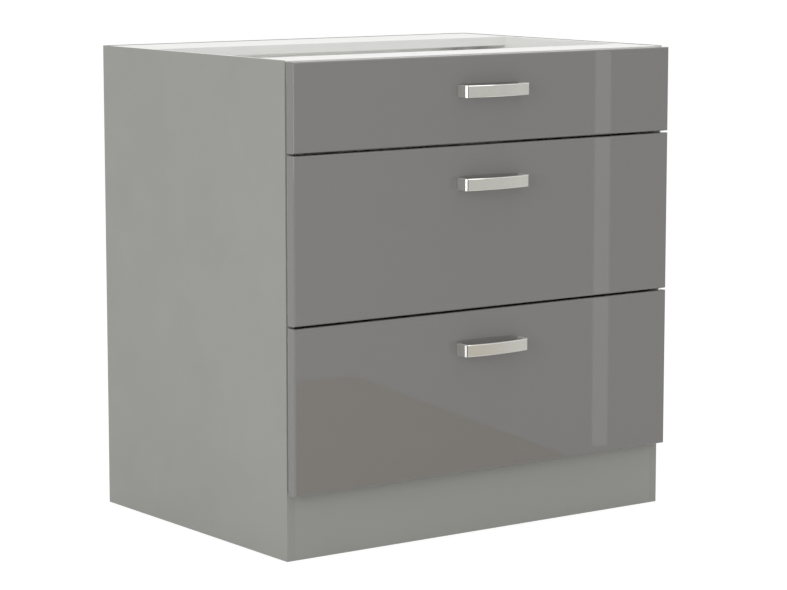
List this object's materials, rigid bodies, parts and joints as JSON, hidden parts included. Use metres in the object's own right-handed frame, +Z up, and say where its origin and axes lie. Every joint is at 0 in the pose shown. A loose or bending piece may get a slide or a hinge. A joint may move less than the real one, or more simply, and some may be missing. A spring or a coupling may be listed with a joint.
{
  "type": "base cabinet with drawers",
  "caption": "Open-topped kitchen base cabinet with a plinth, metal-sided drawers on roller runners, gloss fronts and bowed bar handles.",
  "frame": {"origin": "middle of the footprint, handles included, on the floor", "axes": "+X to the right seen from the front, +Y to the back, +Z up; the drawers open towards -Y"},
  "size_m": [0.8, 0.631, 0.82],
  "materials": {
    "grey_melamine": "satin",
    "white_melamine": "satin",
    "hardboard": "matte",
    "gloss_foil": "gloss",
    "brushed_nickel": "brushed",
    "coated_steel": "satin",
    "nylon": "matte",
    "zinc_steel": "satin",
    "beech": "matte",
    "bumper": "satin"
  },
  "bodies": {
    "carcass": {"side_panel_left": "grey_melamine", "side_panel_right": "grey_melamine", "bottom_panel": "white_melamine", "front_rail": "white_melamine", "rear_rail": "white_melamine", "plinth_board": "grey_melamine", "back_panel": "hardboard", "cam_locks": "zinc_steel", "cam_bolts": "zinc_steel", "dowels": "beech", "front_bumpers": "bumper", "runner_screws": "zinc_steel", "runner_bottom_left": "coated_steel", "runner_bottom_right": "coated_steel", "runner_middle_left": "coated_steel", "runner_middle_right": "coated_steel", "runner_top_left": "coated_steel", "runner_top_right": "coated_steel"},
    "drawer_bottom": {"front_bottom": "gloss_foil", "handle_bottom": "brushed_nickel", "handle_screws_bottom": "zinc_steel", "drawer_side_bottom_left": "coated_steel", "drawer_side_bottom_right": "coated_steel", "drawer_base_bottom": "white_melamine", "drawer_rear_bottom": "white_melamine", "front_brackets_bottom": "zinc_steel", "drawer_screws_bottom": "zinc_steel"},
    "cabinet_rollers_bottom": {"cabinet_rollers_bottom": "nylon"},
    "drawer_rollers_bottom": {"drawer_rollers_bottom": "nylon"},
    "drawer_middle": {"front_middle": "gloss_foil", "handle_middle": "brushed_nickel", "handle_screws_middle": "zinc_steel", "drawer_side_middle_left": "coated_steel", "drawer_side_middle_right": "coated_steel", "drawer_base_middle": "white_melamine", "drawer_rear_middle": "white_melamine", "front_brackets_middle": "zinc_steel", "drawer_screws_middle": "zinc_steel"},
    "cabinet_rollers_middle": {"cabinet_rollers_middle": "nylon"},
    "drawer_rollers_middle": {"drawer_rollers_middle": "nylon"},
    "drawer_top": {"front_top": "gloss_foil", "handle_top": "brushed_nickel", "handle_screws_top": "zinc_steel", "drawer_side_top_left": "coated_steel", "drawer_side_top_right": "coated_steel", "drawer_base_top": "white_melamine", "drawer_rear_top": "white_melamine", "front_brackets_top": "zinc_steel", "drawer_screws_top": "zinc_steel"},
    "cabinet_rollers_top": {"cabinet_rollers_top": "nylon"},
    "drawer_rollers_top": {"drawer_rollers_top": "nylon"}
  },
  "joints": [
    {"name": "bottom_drawer_slide", "type": "slide", "parent": "carcass", "child": "drawer_bottom", "axis": [0, -1, 0], "range_m": [0, 0.38]},
    {"name": "cabinet_rollers_bottom_turn", "type": "hinge", "parent": "carcass", "child": "cabinet_rollers_bottom", "pos_m": [0, -0.2505, 0.15625], "axis": [1, 0, 0], "range_deg": [-5, 3000]},
    {"name": "drawer_rollers_bottom_turn", "type": "hinge", "parent": "drawer_bottom", "child": "drawer_rollers_bottom", "pos_m": [0, 0.2205, 0.157], "axis": [1, 0, 0], "range_deg": [-5, 3000]},
    {"name": "middle_drawer_slide", "type": "slide", "parent": "carcass", "child": "drawer_middle", "axis": [0, -1, 0], "range_m": [0, 0.38]},
    {"name": "cabinet_rollers_middle_turn", "type": "hinge", "parent": "carcass", "child": "cabinet_rollers_middle", "pos_m": [0, -0.2505, 0.43675], "axis": [1, 0, 0], "range_deg": [-5, 3000]},
    {"name": "drawer_rollers_middle_turn", "type": "hinge", "parent": "drawer_middle", "child": "drawer_rollers_middle", "pos_m": [0, 0.2205, 0.4375], "axis": [1, 0, 0], "range_deg": [-5, 3000]},
    {"name": "top_drawer_slide", "type": "slide", "parent": "carcass", "child": "drawer_top", "axis": [0, -1, 0], "range_m": [0, 0.38]},
    {"name": "cabinet_rollers_top_turn", "type": "hinge", "parent": "carcass", "child": "cabinet_rollers_top", "pos_m": [0, -0.2505, 0.71725], "axis": [1, 0, 0], "range_deg": [-5, 3000]},
    {"name": "drawer_rollers_top_turn", "type": "hinge", "parent": "drawer_top", "child": "drawer_rollers_top", "pos_m": [0, 0.2205, 0.718], "axis": [1, 0, 0], "range_deg": [-5, 3000]}
  ],
  "couplings": [
    {"joint": "cabinet_rollers_bottom_turn", "follows": "bottom_drawer_slide", "rad_per_m": 129.03},
    {"joint": "drawer_rollers_bottom_turn", "follows": "bottom_drawer_slide", "rad_per_m": 117.65},
    {"joint": "cabinet_rollers_middle_turn", "follows": "middle_drawer_slide", "rad_per_m": 129.03},
    {"joint": "drawer_rollers_middle_turn", "follows": "middle_drawer_slide", "rad_per_m": 117.65},
    {"joint": "cabinet_rollers_top_turn", "follows": "top_drawer_slide", "rad_per_m": 129.03},
    {"joint": "drawer_rollers_top_turn", "follows": "top_drawer_slide", "rad_per_m": 117.65}
  ]
}
